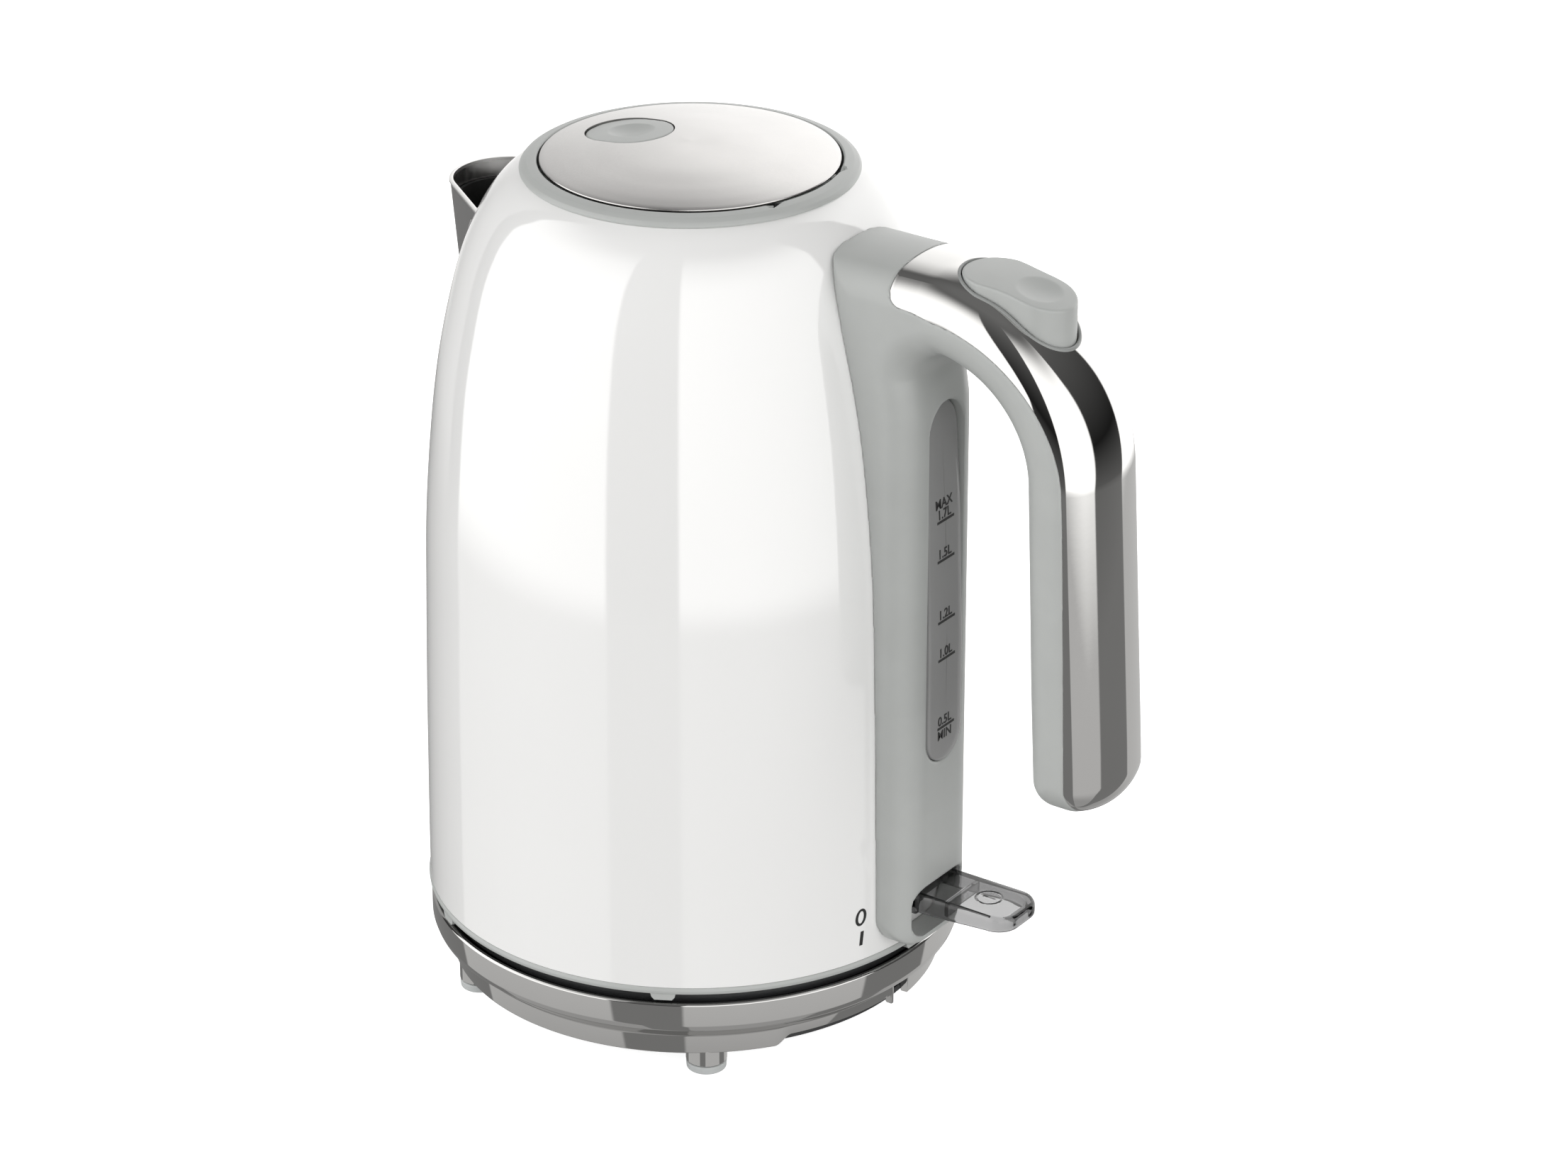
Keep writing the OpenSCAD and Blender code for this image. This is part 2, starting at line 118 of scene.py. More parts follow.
def spline(points, count):
    """Points on a smooth curve through the given points, evenly spaced in length."""
    knots = np.array(points, float)
    ends = np.vstack([2 * knots[0] - knots[1], knots, 2 * knots[-1] - knots[-2]])
    fine = []
    for i in range(1, len(ends) - 2):
        p0, p1, p2, p3 = ends[i - 1:i + 3]
        span = np.linalg.norm(p2 - p1)
        m1 = (p2 - p0) / (np.linalg.norm(p1 - p0) + span) * span
        m2 = (p3 - p1) / (np.linalg.norm(p3 - p2) + span) * span
        for t in np.linspace(0, 1, 40, endpoint=False):
            fine.append((2 * t**3 - 3 * t**2 + 1) * p1 + (t**3 - 2 * t**2 + t) * m1
                        + (3 * t**2 - 2 * t**3) * p2 + (t**3 - t**2) * m2)
    fine = np.array(fine + [knots[-1]])
    run = np.concatenate([[0], np.cumsum(np.linalg.norm(np.diff(fine, axis=0), axis=1))])
    even = np.linspace(0, run[-1], count)
    return np.stack([np.interp(even, run, fine[:, k]) for k in range(knots.shape[1])], 1)


def smoothstep(t):
    t = np.clip(t, 0, 1)
    return t * t * (3 - 2 * t)


def rounded_max(a, b, radius):
    """Intersection of two fields with its edge rounded by the radius."""
    a, b = a + radius, b + radius
    return np.minimum(np.maximum(a, b), 0) + np.hypot(np.maximum(a, 0), np.maximum(b, 0)) - radius


def soft_max(a, b, width):
    """Intersection of two fields whose edge is eased over the width."""
    return np.maximum(a, b) + np.maximum(width - np.abs(a - b), 0) ** 2 / (4 * width)


def outline_field(points):
    """Signed distance to a closed outline, negative inside, for two coordinate arrays."""
    start = np.array(points, float)
    edges = np.roll(start, -1, 0) - start

    def field(u, v):
        u, v = np.broadcast_arrays(u, v)
        nearest = np.full(u.shape, 1e9)
        inside = np.zeros(u.shape, bool)
        for (au, av), (eu, ev) in zip(start, edges):
            along = np.clip(((u - au) * eu + (v - av) * ev) / (eu * eu + ev * ev), 0, 1)
            nearest = np.minimum(nearest, (u - au - along * eu) ** 2 + (v - av - along * ev) ** 2)
            if ev:
                inside ^= ((av > v) != (av + ev > v)) & (u < au + eu * (v - av) / ev)
        return np.where(inside, -1, 1) * np.sqrt(nearest)

    return field


def box_field(u, v, centre, half, radius):
    """Signed distance to a rounded rectangle."""
    a = np.abs(u - centre[0]) - half[0] + radius
    b = np.abs(v - centre[1]) - half[1] + radius
    return np.hypot(np.maximum(a, 0), np.maximum(b, 0)) + np.minimum(np.maximum(a, b), 0) - radius


def surface_net(field, low, high, step, pulls=2):
    """Quads over the zero surface of a field, with every vertex pulled onto it."""
    axes = [np.arange(a - 2 * step, b + 2.5 * step, step) for a, b in zip(low, high)]
    grid = np.meshgrid(*axes, indexing="ij", sparse=True)
    values = np.broadcast_to(field(*grid), [len(a) for a in axes])
    cells = [len(a) - 1 for a in axes]
    total = np.zeros((int(np.prod(cells)), 3))
    count = np.zeros(len(total))
    quads = []
    for k in range(3):
        i, j = (k + 1) % 3, (k + 2) % 3
        turned = np.moveaxis(values, (k, i, j), (0, 1, 2))
        first, last = turned[:-1], turned[1:]
        crossed = (first < 0) != (last < 0)
        crossed[:, [0, -1]] = False
        crossed[:, :, [0, -1]] = False
        at = np.argwhere(crossed)
        share = first[crossed] / (first[crossed] - last[crossed])
        point = np.empty((len(at), 3))
        point[:, k] = axes[k][at[:, 0]] + share * step
        point[:, i] = axes[i][at[:, 1]]
        point[:, j] = axes[j][at[:, 2]]
        around = []
        for di, dj in ((-1, -1), (0, -1), (0, 0), (-1, 0)):
            cell = np.empty((3, len(at)), int)
            cell[k], cell[i], cell[j] = at[:, 0], at[:, 1] + di, at[:, 2] + dj
            flat = np.ravel_multi_index(cell, cells)
            for c in range(3):
                total[:, c] += np.bincount(flat, point[:, c], len(total))
            count += np.bincount(flat, minlength=len(total))
            around.append(flat)
        quad = np.stack(around, 1)
        quads.append(np.where((first[crossed] < 0)[:, None], quad, quad[:, ::-1]))
    used, faces = np.unique(np.concatenate(quads), return_inverse=True)
    points = total[used] / count[used][:, None]
    probe = step * 0.05
    for _ in range(pulls):
        value = field(*points.T)
        slope = np.stack([(field(*(points + probe * np.eye(3)[c]).T) - value) / probe for c in range(3)], 1)
        move = slope * (value / np.maximum((slope ** 2).sum(1), 0.2))[:, None]
        points -= np.clip(move, -step * 0.5, step * 0.5)
    return points, faces.reshape(-1, 4)


# ---------------------------------------------------------------- mesh builders

def piece(name, points, faces, material, body, node=None, slot=None, sharp=35):
    """A mesh object from millimetre points; it rides on a body and may stand for a CAD node."""
    mesh = bpy.data.meshes.new(name)
    mesh.from_pydata((np.asarray(points, float) * MM).tolist(), [], [tuple(map(int, f)) for f in faces])
    mesh.validate()
    made = bpy.data.objects.new(name, mesh)
    bpy.context.collection.objects.link(made)
    mesh.materials.append(material)
    finish_piece(made, body, node, sharp)
    return made


def finish_piece(made, body, node=None, sharp=35):
    """Outward faces, smooth shading with sharp edges kept, and the frame's book-keeping."""
    mesh = made.data
    tidy = bmesh.new()
    tidy.from_mesh(mesh)
    bmesh.ops.remove_doubles(tidy, verts=tidy.verts, dist=1e-6)
    bmesh.ops.recalc_face_normals(tidy, faces=tidy.faces)
    tidy.to_mesh(mesh)
    tidy.free()
    mesh.shade_smooth()
    mesh.set_sharp_from_angle(angle=math.radians(sharp))
    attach(made, body)
    if node:
        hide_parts(*([node] if isinstance(node, str) else node))


def lathe(profile, count=192, angles=None, bend=None):
    """Points and faces of a closed profile of (radius, height) turned about the axis."""
    angles = np.radians(np.arange(count) * 360 / count if angles is None else angles)
    profile = np.array(profile, float)
    points = []
    for a in angles:
        row = profile if bend is None else bend(profile, math.degrees(a))
        points.append(np.stack([row[:, 0] * math.cos(a), row[:, 0] * math.sin(a), row[:, 1]], 1))
    size, turns = len(profile), len(angles)
    faces = []
    for i in range(turns):
        for j in range(size):
            a, b = i * size + j, i * size + (j + 1) % size
            c, d = (i + 1) % turns * size + (j + 1) % size, (i + 1) % turns * size + j
            faces.append((a, b, c, d))
    return np.vstack(points), faces


def strip_faces(rows, columns, close_rows=False, close_columns=False, base=0):
    """Quads over a grid of points stored row by row."""
    faces = []
    for i in range(rows if close_rows else rows - 1):
        for j in range(columns if close_columns else columns - 1):
            k, m = (i + 1) % rows, (j + 1) % columns
            faces.append((base + i * columns + j, base + i * columns + m, base + k * columns + m,
                          base + k * columns + j))
    return faces


def join(*parts):
    """One set of points and faces from several."""
    points, faces, base = [], [], 0
    for p, f in parts:
        points.append(np.asarray(p, float))
        faces += [tuple(v + base for v in face) for face in f]
        base += len(p)
    return np.vstack(points), faces


def shell(outer, inner, rows, columns):
    """Closed sheet between two grids of the same size."""
    size = rows * columns
    points = np.vstack([outer, inner])
    faces = strip_faces(rows, columns) + [f[::-1] for f in strip_faces(rows, columns, base=size)]
    rim = [i * columns for i in range(rows)] + [(rows - 1) * columns + j for j in range(1, columns)]
    rim += [i * columns + columns - 1 for i in range(rows - 2, -1, -1)] + list(range(columns - 2, 0, -1))
    for a, b in zip(rim, rim[1:] + rim[:1]):
        faces.append((a, b, b + size, a + size))
    return points, faces


def prism(outline, low, high, axis=2):
    """Upright block over an outline; axis is the direction that it is pushed along."""
    outline = np.array(outline, float)
    ends = []
    for level in (low, high):
        ends.append(np.insert(outline, axis, level, axis=1))
    count = len(outline)
    faces = [tuple(range(count)), tuple(range(2 * count - 1, count - 1, -1))]
    faces += [(i, (i + 1) % count, (i + 1) % count + count, i + count) for i in range(count)]
    return np.vstack(ends), faces


def cut(made, points, faces):
    """Takes a block away from a piece and leaves no modifier behind."""
    mesh = bpy.data.meshes.new("cutter")
    mesh.from_pydata((np.asarray(points, float) * MM).tolist(), [], [tuple(map(int, f)) for f in faces])
    tidy = bmesh.new()
    tidy.from_mesh(mesh)
    bmesh.ops.recalc_face_normals(tidy, faces=tidy.faces)
    tidy.to_mesh(mesh)
    tidy.free()
    cutter = bpy.data.objects.new("cutter", mesh)
    bpy.context.collection.objects.link(cutter)
    modifier = made.modifiers.new("cut", "BOOLEAN")
    modifier.operation = "DIFFERENCE"
    modifier.solver = "EXACT"
    modifier.object = cutter
    graph = bpy.context.evaluated_depsgraph_get()
    result = bpy.data.meshes.new_from_object(made.evaluated_get(graph))
    made.modifiers.clear()
    made.data = result
    bpy.data.objects.remove(cutter)
    result.shade_smooth()
    result.set_sharp_from_angle(angle=math.radians(35))


# ---------------------------------------------------------------- materials

def node_setter(tree):
    def add(kind, label=None, **values):
        made = tree.nodes.new(kind)
        for key, value in values.items():
            setattr(made, key, value)
        return made
    return add


def tint_inside(material, colour, density):
    """Makes a clear plastic darker the further light travels inside it."""
    tree = material.node_tree
    absorb = tree.nodes.new("ShaderNodeVolumeAbsorption")
    absorb.inputs["Color"].default_value = (*colour, 1)
    absorb.inputs["Density"].default_value = density
    tree.links.new(absorb.outputs["Volume"], tree.nodes["Material Output"].inputs["Volume"])


def surface(name, colour, roughness, metallic=0.0, variation=0.03, mottle=60.0, grain=0.0, grain_scale=900.0,
            rough_spread=0.05, stretch=(1, 1, 1), **sockets):
    """Procedural finish: a base colour with faint mottling, varied roughness and a fine bump."""
    material = bpy.data.materials.new(name)
    material.use_nodes = True
    tree = material.node_tree
    add = node_setter(tree)
    shader = tree.nodes["Principled BSDF"]
    shader.inputs["Metallic"].default_value = metallic
    for key, value in sockets.items():
        shader.inputs[key.replace("_", " ")].default_value = value
    place = add("ShaderNodeTexCoord")
    scaled = add("ShaderNodeMapping")
    scaled.inputs["Scale"].default_value = stretch
    tree.links.new(place.outputs["Object"], scaled.inputs["Vector"])
    cloud = add("ShaderNodeTexNoise")
    cloud.inputs["Scale"].default_value = mottle
    cloud.inputs["Detail"].default_value = 4
    tree.links.new(scaled.outputs["Vector"], cloud.inputs["Vector"])
    ramp = add("ShaderNodeValToRGB")
    low, high = ramp.color_ramp.elements
    low.position, high.position = 0.3, 0.7
    low.color = (*[c * (1 - variation) for c in colour], 1)
    high.color = (*[min(1, c * (1 + variation)) for c in colour], 1)
    tree.links.new(cloud.outputs["Fac"], ramp.inputs["Fac"])
    tree.links.new(ramp.outputs["Color"], shader.inputs["Base Color"])
    fine = add("ShaderNodeTexNoise")
    fine.inputs["Scale"].default_value = grain_scale
    fine.inputs["Detail"].default_value = 3
    tree.links.new(scaled.outputs["Vector"], fine.inputs["Vector"])
    spread = add("ShaderNodeMapRange")
    spread.inputs["To Min"].default_value = max(0.0, roughness - rough_spread)
    spread.inputs["To Max"].default_value = roughness + rough_spread
    tree.links.new(fine.outputs["Fac"], spread.inputs["Value"])
    tree.links.new(spread.outputs["Result"], shader.inputs["Roughness"])
    if grain:
        bump = add("ShaderNodeBump")
        bump.inputs["Strength"].default_value = grain
        bump.inputs["Distance"].default_value = 0.0001
        tree.links.new(fine.outputs["Fac"], bump.inputs["Height"])
        tree.links.new(bump.outputs["Normal"], shader.inputs["Normal"])
    return material


ENAMEL = surface("white_enamel_gloss", (0.93, 0.93, 0.925), 0.06, variation=0.004, mottle=25, grain=0.02,
                 grain_scale=160, rough_spread=0.02, IOR=1.9, Coat_Weight=0.4, Coat_Roughness=0.03)
GREY = surface("satin_grey_plastic", (0.47, 0.485, 0.475), 0.36, variation=0.02, mottle=90, grain=0.12,
               grain_scale=2600, rough_spread=0.06, IOR=1.5)
GREY_DARK = surface("bezel_grey_plastic", (0.3, 0.31, 0.305), 0.34, variation=0.03, mottle=90, grain=0.1,
                    grain_scale=2600, IOR=1.5)
CHROME = surface("polished_chrome", (0.62, 0.615, 0.605), 0.035, metallic=1, variation=0.012, mottle=30,
                 grain=0.01, grain_scale=500, rough_spread=0.02)
LID_STEEL = surface("satin_lid_steel", (0.57, 0.56, 0.552), 0.24, metallic=1, variation=0.03, mottle=35,
                    grain=0.04,
                    grain_scale=1800, rough_spread=0.06, Anisotropic=0.3)
PLATE_STEEL = surface("brushed_steel", (0.6, 0.6, 0.595), 0.3, metallic=1, variation=0.05, mottle=40,
                      grain=0.12,
                      grain_scale=700, rough_spread=0.08, stretch=(1, 1, 0.08))
SPOUT_STEEL = surface("spout_steel", (0.55, 0.545, 0.54), 0.22, metallic=1, variation=0.04, mottle=40,
                      grain=0.05,
                      grain_scale=900, rough_spread=0.06, stretch=(1, 1, 0.2))
# lighter copy of the spout steel for the rolled rim: painted highlight along the rim edge
SPOUT_RIM_HIGHLIGHT = surface("spout_rim_painted_highlight", (0.9, 0.895, 0.885), 0.3, metallic=1, variation=0.02, mottle=60,
                    grain=0.02)
SCREW_STEEL = surface("screw_steel", (0.55, 0.55, 0.56), 0.32, metallic=1, variation=0.06, mottle=200,
                      grain=0.1)
ALUMINIUM = surface("cast_aluminium", (0.78, 0.79, 0.8), 0.42, metallic=1, variation=0.05, mottle=120,
                    grain=0.25,
                    grain_scale=1400)
BRASS = surface("contact_brass", (0.78, 0.58, 0.26), 0.25, metallic=1, variation=0.07, mottle=150, grain=0.08)
DARK = surface("dark_plastic", (0.02, 0.021, 0.022), 0.42, variation=0.12, mottle=80, grain=0.35,
               grain_scale=2000)
# black for the sheet inside the spout: painted shade in the spout's depth, not a real part
PAINTED_SPOUT_SHADE = surface("painted_spout_shade", (0.004, 0.004, 0.004), 0.6, variation=0.1, mottle=80, grain=0.2)
CREAM = surface("cream_plastic", (0.72, 0.7, 0.63), 0.45, variation=0.04, mottle=70, grain=0.2,
                grain_scale=1800)
RUBBER = surface("pale_rubber", (0.52, 0.54, 0.54), 0.55, variation=0.05, mottle=110, grain=0.3,
                 grain_scale=2400)
INK = surface("black_print", (0.006, 0.006, 0.006), 0.5, variation=0.15, mottle=300, grain=0.05)
WINDOW_CLEAR = surface("clear_window_plastic", (0.36, 0.36, 0.36), 0.1, variation=0.02, mottle=60, grain=0.01,
                       Transmission_Weight=0.12, IOR=1.45)
SMOKED = surface("smoked_clear_plastic", (0.6, 0.6, 0.605), 0.03, variation=0.03, mottle=60, grain=0.01,
                 rough_spread=0.015, Transmission_Weight=1.0, IOR=1.49)
tint_inside(SMOKED, (0.1, 0.1, 0.1), 280)


# ---------------------------------------------------------------- camera and light

camera_data = bpy.data.cameras.new("camera")
camera_data.sensor_width = 36
camera_data.lens = 121.24
camera = bpy.data.objects.new("camera", camera_data)
camera.location = (0.80781, -1.10848, 0.76827)
back = Vector((0.51850, -0.74049, 0.42760))
camera.rotation_mode = "QUATERNION"
camera.rotation_quaternion = (-back).to_track_quat("-Z", "Y")
bpy.context.collection.objects.link(camera)
bpy.context.scene.camera = camera

# each strip is (first azimuth, last azimuth) in degrees from -Y toward +X where the studio is bright
BRIGHT = [(-84, -1), (30, 113), (152, 200)]
HORIZON = (-21.5, -18.5)
FLOOR_LIGHT, FLOOR_DARK, FLOOR_DEEP = 0.64, 0.24, 0.42
BOX_LIGHT = 1.75
BOX_TOP = (30, 66)
CEILING = 0.2
GAP_DARK, GAP_LOW = 0.015, 0.14
BACK_FADE = (205, 240)
BACK_DARK = 0.42
DIFFUSE_SHARE = 0.86


def studio_world():
    """Soft boxes and dark gaps by azimuth above the horizon, and their dim floor below it."""
    world = bpy.data.worlds.new("studio")
    bpy.context.scene.world = world
    world.use_nodes = True
    tree = world.node_tree
    tree.nodes.clear()
    add = node_setter(tree)
    link = tree.links.new

    def math_node(operation, *inputs, clamp=False):
        made = add("ShaderNodeMath", operation=operation, use_clamp=clamp)
        for k, value in enumerate(inputs):
            if hasattr(value, "links"):
                link(value, made.inputs[k])
            else:
                made.inputs[k].default_value = value
        return made.outputs[0]

    def ramp_up(value, start, end):
        made = add("ShaderNodeMapRange", interpolation_type="SMOOTHSTEP")
        link(value, made.inputs["Value"])
        made.inputs["From Min"].default_value = start
        made.inputs["From Max"].default_value = end
        return made.outputs["Result"]

    def linear(value, start, end):
        made = add("ShaderNodeMapRange")
        link(value, made.inputs["Value"])
        made.inputs["From Min"].default_value = start
        made.inputs["From Max"].default_value = end
        return made.outputs["Result"]

    split = add("ShaderNodeSeparateXYZ")
    link(add("ShaderNodeTexCoord").outputs["Generated"], split.inputs[0])
    x, y, z = split.outputs
    azimuth = math_node("MULTIPLY", math_node("ARCTAN2", x, math_node("MULTIPLY", y, -1.0)), 180 / math.pi)
    azimuth = math_node("ADD", azimuth, math_node("MULTIPLY", math_node("LESS_THAN", azimuth, -95.0), 360.0))
    height = math_node("MULTIPLY", math_node("ARCSINE", z), 180 / math.pi)
    lit = 0.0
    for start, end in BRIGHT:
        band = math_node("MULTIPLY", ramp_up(azimuth, start - 1, start + 1),
                         math_node("SUBTRACT", 1.0, ramp_up(azimuth, end - 1, end + 1)))
        lit = band if lit == 0.0 else math_node("ADD", lit, band, clamp=True)

    def blend(value, low, high):
        return math_node("ADD", low if not hasattr(low, "links") else low,
                         math_node("MULTIPLY", value, math_node("SUBTRACT", high, low)))

    below = blend(lit, FLOOR_DARK, blend(ramp_up(height, -60, HORIZON[0]), FLOOR_DEEP, FLOOR_LIGHT))
    gap = math_node("ADD", blend(linear(height, 0, 75), GAP_DARK, CEILING),
                    math_node("MULTIPLY", linear(height, 0, HORIZON[0]), GAP_LOW))
    fade = math_node("SUBTRACT", 1.0, ramp_up(height, *BOX_TOP))
    above = blend(math_node("MULTIPLY", lit, fade), gap, BOX_LIGHT)
    back_edge = math_node("SUBTRACT", 1.0, linear(azimuth, *BACK_FADE))
    back_light = blend(back_edge, BACK_DARK, BOX_LIGHT)
    back_top = math_node("SUBTRACT", 1.0, ramp_up(height, 30, 54))
    back = blend(math_node("MULTIPLY", ramp_up(azimuth, 196, 201), back_top), gap, back_light)
    above = math_node("MAXIMUM", above, back)
    light = blend(linear(height, *HORIZON), below, above)
    path = add("ShaderNodeLightPath")
    light = math_node("MULTIPLY", light, blend(path.outputs["Is Diffuse Ray"], 1.0, DIFFUSE_SHARE))
    light = blend(path.outputs["Is Camera Ray"], light, 1.05)
    background = add("ShaderNodeBackground")
    link(light, background.inputs["Strength"])
    background.inputs["Color"].default_value = (1, 0.995, 0.985, 1)
    link(background.outputs[0], add("ShaderNodeOutputWorld").inputs[0])


def studio_floor():
    """Pale floor that the camera sees and that takes only a faint contact shadow."""
    material = bpy.data.materials.new("pale_floor")
    material.use_nodes = True
    shader = material.node_tree.nodes["Principled BSDF"]
    shader.inputs["Base Color"].default_value = (0.9, 0.9, 0.9, 1)
    shader.inputs["Roughness"].default_value = 0.9
    shader.inputs["Emission Color"].default_value = (1, 1, 1, 1)
    shader.inputs["Emission Strength"].default_value = 0.85
    mesh = bpy.data.meshes.new("floor")
    size = 6.0
    mesh.from_pydata([(-size, -size, 0), (size, -size, 0), (size, size, 0), (-size, size, 0)], [],
                     [(0, 1, 2, 3)])
    floor = bpy.data.objects.new("floor", mesh)
    floor.data.materials.append(material)
    floor.location.z = -0.0002
    bpy.context.collection.objects.link(floor)
    floor.visible_diffuse = False
    floor.visible_glossy = False
    floor.visible_shadow = False


studio_world()
studio_floor()
bpy.context.scene.view_settings.view_transform = "Standard"


def soft_box(name, place, target, width, height, power):
    """Large soft area light."""
    lamp = bpy.data.lights.new(name, "AREA")
    lamp.shape = "RECTANGLE"
    lamp.size, lamp.size_y, lamp.energy = width, height, power
    made = bpy.data.objects.new(name, lamp)
    made.location = place
    made.rotation_mode = "QUATERNION"
    made.rotation_quaternion = (Vector(target) - Vector(place)).to_track_quat("-Z", "Y")
    made.visible_glossy = False
    made.visible_camera = False
    bpy.context.collection.objects.link(made)


soft_box("key_light", (-0.9, -1.2, 1.5), (0, 0, 0.13), 1.0, 1.0, 6)
soft_box("fill_light", (1.5, -0.6, 1.2), (0, 0, 0.13), 1.0, 1.0, 2)


# ---------------------------------------------------------------- power base

def base_cover_piece():
    """Bright cover with its rolled rim, step and skirt; the skirt is raised at one side and notched for a cord."""
    profile = filleted([(18.2, 22), (68, 22), (68, 18), (69.6, 16), (69.6, 7.3), (71.9, 7.3), (72.0, 13.2),
                        (73.6, 14.6), (77.1, 17.6), (77.7, 19.3), (77.7, 26.0), (77.2, 26.5), (76.4, 26.5),
                        (75.8, 24), (18.2, 24)],
                       [0.3, 1, 0.5, 0.5, 0.4, 0.4, 1.0, 0.6, 1.2, 1.2, 0.3, 0.3, 0.25, 0.6, 0.3], 4)
    notch, step_start, step_end = (-1.9, 4.0), -34.0, -3.0
    full, raised, notched = 7.3, 10.4, 13.4

    def bend(points, angle):
        angle = (angle + 180) % 360 - 180
        lift = smoothstep((angle - step_start + 2) / 4.0) * (1 - smoothstep((angle - step_end) / 0.6)) * (raised - full)
        inside = smoothstep((angle - notch[0]) / 0.12) * (1 - smoothstep((angle - notch[1]) / 0.12))
        lift = float(max(lift, inside * (notched - full)))
        moved = points.copy()
        skirt = (points[:, 1] < 14) & (points[:, 0] > 69)
        share = np.clip((13.6 - points[:, 1]) / (13.6 - full), 0, 1)
        moved[:, 1] += np.where(skirt, share * lift, 0)
        return moved

    angles = np.unique(np.round(np.concatenate([
        np.arange(-180, 180, 1.5), np.arange(-38, -30, 0.4), np.arange(-3, -2.2, 0.2),
        np.linspace(notch[0], notch[0] + 0.13, 3), np.linspace(notch[1], notch[1] + 0.13, 3)]), 3))
    piece("base_cover_bright", *lathe(profile, angles=angles, bend=bend), CHROME, "power_base", "base_cover",
          "base_chrome")


def feet_pieces():
    """Bright foot posts with a rounded lip, and the soft pads under them."""
    post = [(0.01, 2.4), (5.4, 2.4), (5.9, 2.9), (5.9, 7.4), (5.9, 15.5), (0.01, 15.5)]
    pad = filleted([(0.01, 0), (5.7, 0), (5.85, 2.35), (0.01, 2.35)], [0, 0.5, 0.3, 0])
    for name, profile, material, node, slot in (("foot_posts", post, CHROME, "base_feet", "base_chrome"),
                                                ("foot_pads_soft", pad, RUBBER, "foot_pads", "pale_rubber")):
        parts = []
        for sx in (-1, 1):
            for sy in (-1, 1):
                points, faces = lathe(profile, 48)
                parts.append((points + np.array([40.9 * sx, 51.8 * sy, 0]), faces))
        piece(name, *join(*parts), material, "power_base", node, slot)


base_cover_piece()
feet_pieces()


# ---------------------------------------------------------------- kettle body

BODY_CURVE = spline(BODY_LINE, 400)


def body_radius(z):
    """Outer radius of the body at a height."""
    return np.interp(z, BODY_CURVE[:, 1], BODY_CURVE[:, 0])


def spout_plan(z, inset=0.0):
    """Nose radius, nose centre, and the angle on the body where the flank ends, at a height."""
    tip = np.interp(z, SPOUT_LEVELS, SPOUT_TIPS)
    nose = np.interp(z, SPOUT_LEVELS, SPOUT_NOSES)
    centre = tip - nose
    reach = centre * math.sin(FLANK) + nose - inset
    body = body_radius(z) - 0.4
    return nose - inset, centre, math.asin(min(reach / body, 1)) - FLANK


def spout_half(z):
    """Half width of the spout where it meets the body."""
    return body_radius(z) * math.sin(spout_plan(z)[2])


def spout_point(z, side, inset=0.0, out=0.0):
    """A point of the spout wall: side goes from -1 at one edge round the nose at 0 to 1 at the other."""
    nose, centre, end = spout_plan(z, inset - out)
    body = body_radius(z) - 0.4
    turn = math.pi / 2 - FLANK
    share = abs(side)
    if share < NOSE_SHARE:
        a = turn * share / NOSE_SHARE
        x, y = centre + nose * math.cos(a), nose * math.sin(a)
    else:
        k = (share - NOSE_SHARE) / (1 - NOSE_SHARE)
        x0, y0 = centre + nose * math.cos(turn), nose * math.sin(turn)
        x = x0 + (body * math.cos(end) - x0) * k
        y = y0 + (body * math.sin(end) - y0) * k
    return (-x, math.copysign(y, side), z)


def body_pieces():
    """Enamelled body with the opening behind the spout."""
    outer = spline(BODY_LINE, 110)
    tangent = np.gradient(outer, axis=0)
    normal = np.stack([tangent[:, 1], -tangent[:, 0]], 1)
    normal /= np.linalg.norm(normal, axis=1)[:, None]
    profile = np.vstack([outer, (outer - normal * WALL)[::-1]])
    made = piece("body_enamelled", *lathe(profile, 256), ENAMEL, "kettle", "body_shell", "white_enamel")
    ring = [(-60, -20.5), (-66, -17), (-90, -1), (-90, 1), (-66, 17), (-60, 20.5), (-52, 16), (-52, -16)]
    low, high = prism(ring, 0, 1)[0][:8], prism(ring, 0, 1)[0][8:]
    low = low * np.array([1, 0.45, 1]) + np.array([0, 0, 182])
    high = high * np.array([1, 0.92, 1]) + np.array([0, 0, 224])
    cut(made, np.vstack([low, high]), prism(ring, 0, 1)[1])


def on_body(y, z, lift=0.02):
    """A point on the body's surface on the handle side."""
    radius = body_radius(z) + lift
    return (math.sqrt(radius ** 2 - y ** 2), y, z)


def switch_marks():
    """The generic off and on marks: a leaning ring and a leaning bar, as thick as ink."""
    lean = 0.12
    outer, inner = [], []
    for k in range(48):
        a = math.tau * k / 48
        for ring, (half, tall) in ((outer, (1.85, 2.65)), (inner, (0.95, 1.9))):
            dz = tall * math.sin(a)
            ring.append((half * math.cos(a) + lean * dz, dz))
    off = [on_body(-23.1 + y, 45.7 + dz) for y, dz in outer]
    off += [on_body(-23.1 + y, 45.7 + dz) for y, dz in inner]
    raised = [on_body(-23.1 + y, 45.7 + dz, 0.06) for y, dz in outer]
    raised += [on_body(-23.1 + y, 45.7 + dz, 0.06) for y, dz in inner]
    faces = []
    for k in range(48):
        m = (k + 1) % 48
        faces += [(k, m, m + 48, k + 48), (k + 96, k + 144, m + 144, m + 96), (k, k + 96, m + 96, m),
                  (k + 48, m + 48, m + 144, k + 144)]
    bar = [(-0.55 - lean * 2.2, -2.2), (0.55 - lean * 2.2, -2.2), (0.55 + lean * 2.2, 2.2),
           (-0.55 + lean * 2.2, 2.2)]
    bar_points = [on_body(-22.9 + y, 38.9 + dz, lift) for lift in (0.02, 0.06) for y, dz in bar]
    bar_faces = [(0, 3, 2, 1), (4, 5, 6, 7), (0, 1, 5, 4), (1, 2, 6, 5), (2, 3, 7, 6), (3, 0, 4, 7)]
    piece("switch_marks", *join((off + raised, faces), (bar_points, bar_faces)), INK, "kettle", None,
          "dark_plastic")


